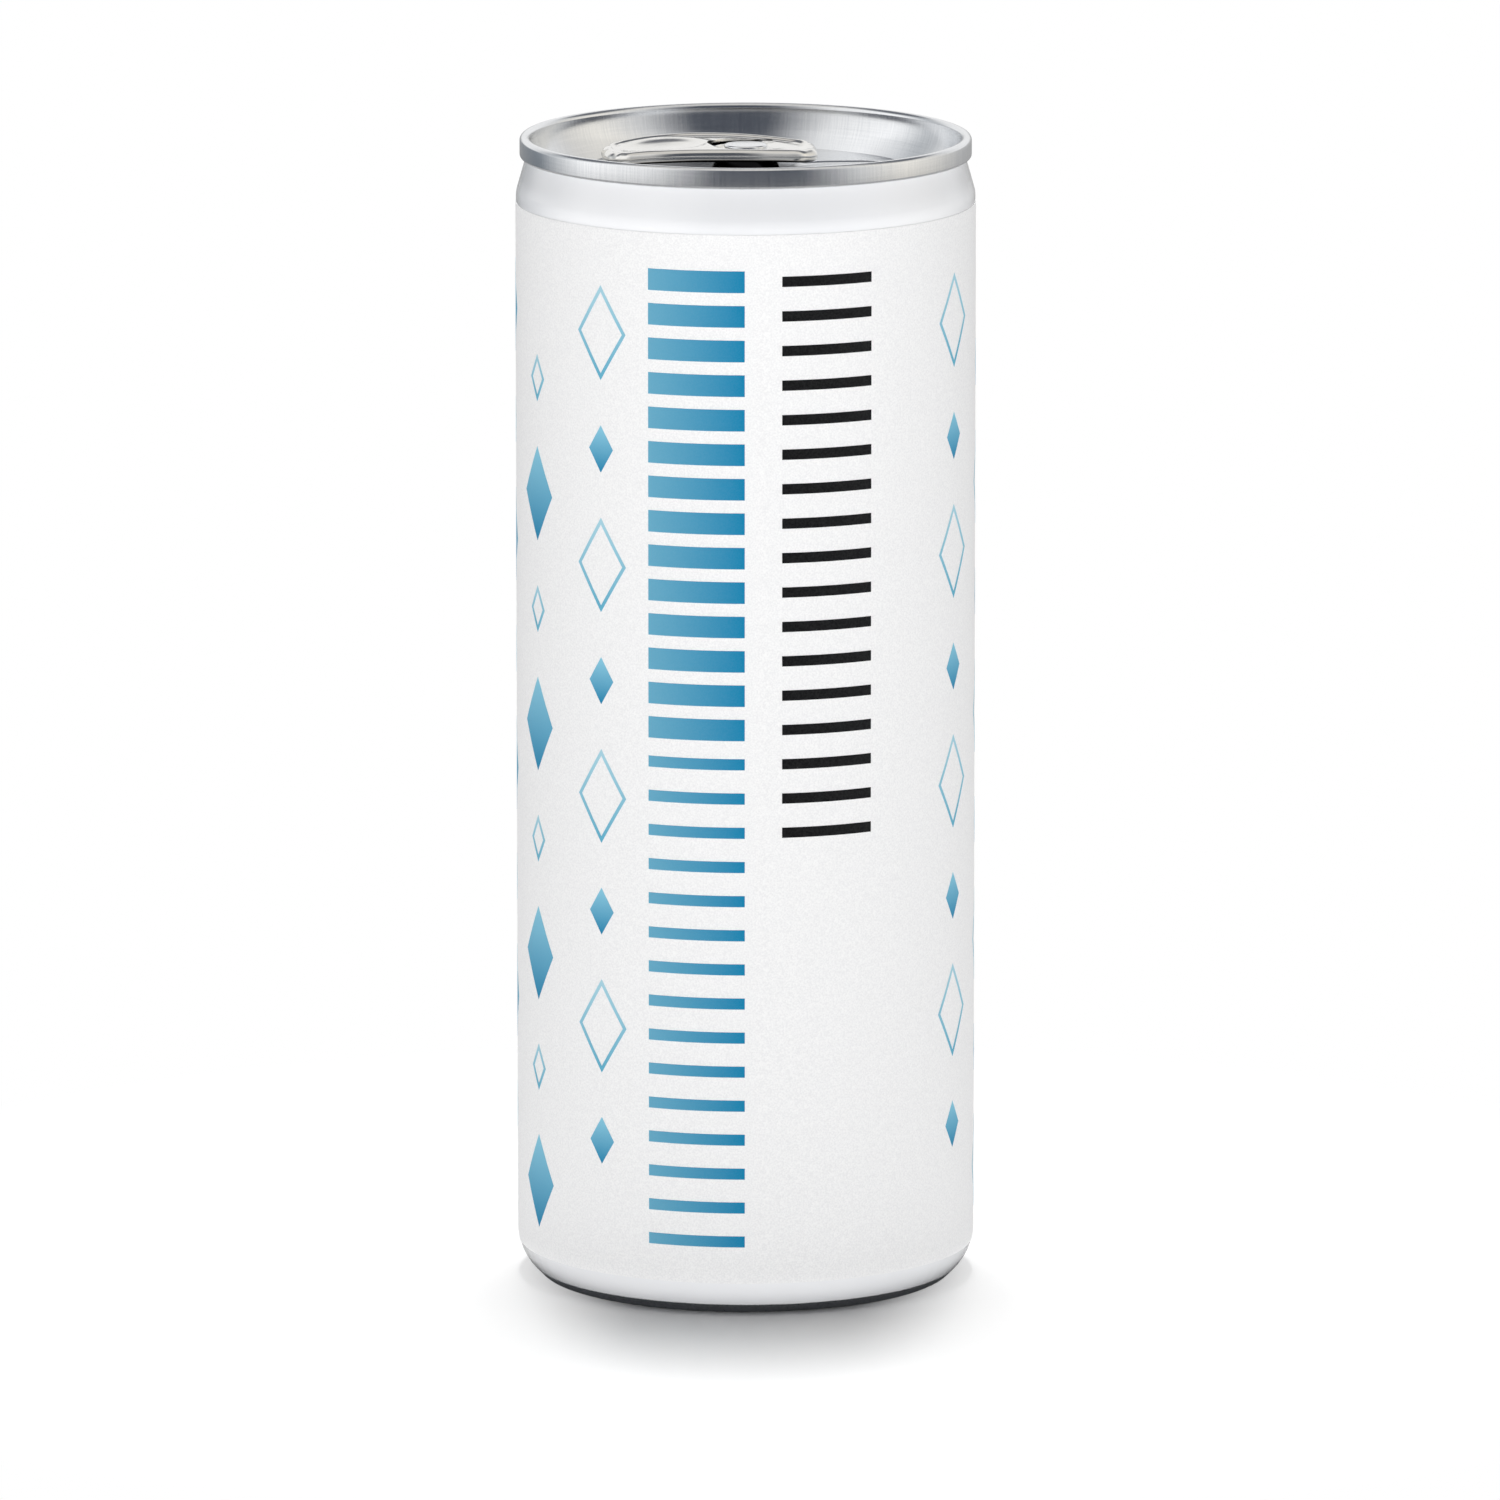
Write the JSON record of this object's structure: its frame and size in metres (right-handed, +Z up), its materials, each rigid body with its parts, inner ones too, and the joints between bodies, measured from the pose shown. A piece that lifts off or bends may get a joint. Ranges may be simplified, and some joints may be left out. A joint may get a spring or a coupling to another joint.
{
  "type": "slim drinks can",
  "caption": "Shut slim aluminium drinks can with a matt label film, seamed end, stay-on pull tab and domed foot.",
  "frame": {"origin": "middle of the standing ring, on the surface that the can stands on", "axes": "+Z up along the can's axis, -Y towards the printed front, +X towards the tab's nose"},
  "size_m": [0.0532, 0.0532, 0.134],
  "materials": {
    "white_lacquer": "glossy white lacquer, bare aluminium at the standing ring",
    "end_aluminium": "fine brushed, satin",
    "tab_aluminium": "bright rolled",
    "label_film": "matt, finely grained",
    "blue_ink": "matt print, shaded from light to mid blue",
    "black_ink": "matt print"
  },
  "bodies": {
    "root": {"can_body": "white_lacquer", "can_end": "end_aluminium", "pull_tab": "tab_aluminium", "label_sleeve": "label_film"}
  },
  "joints": []
}
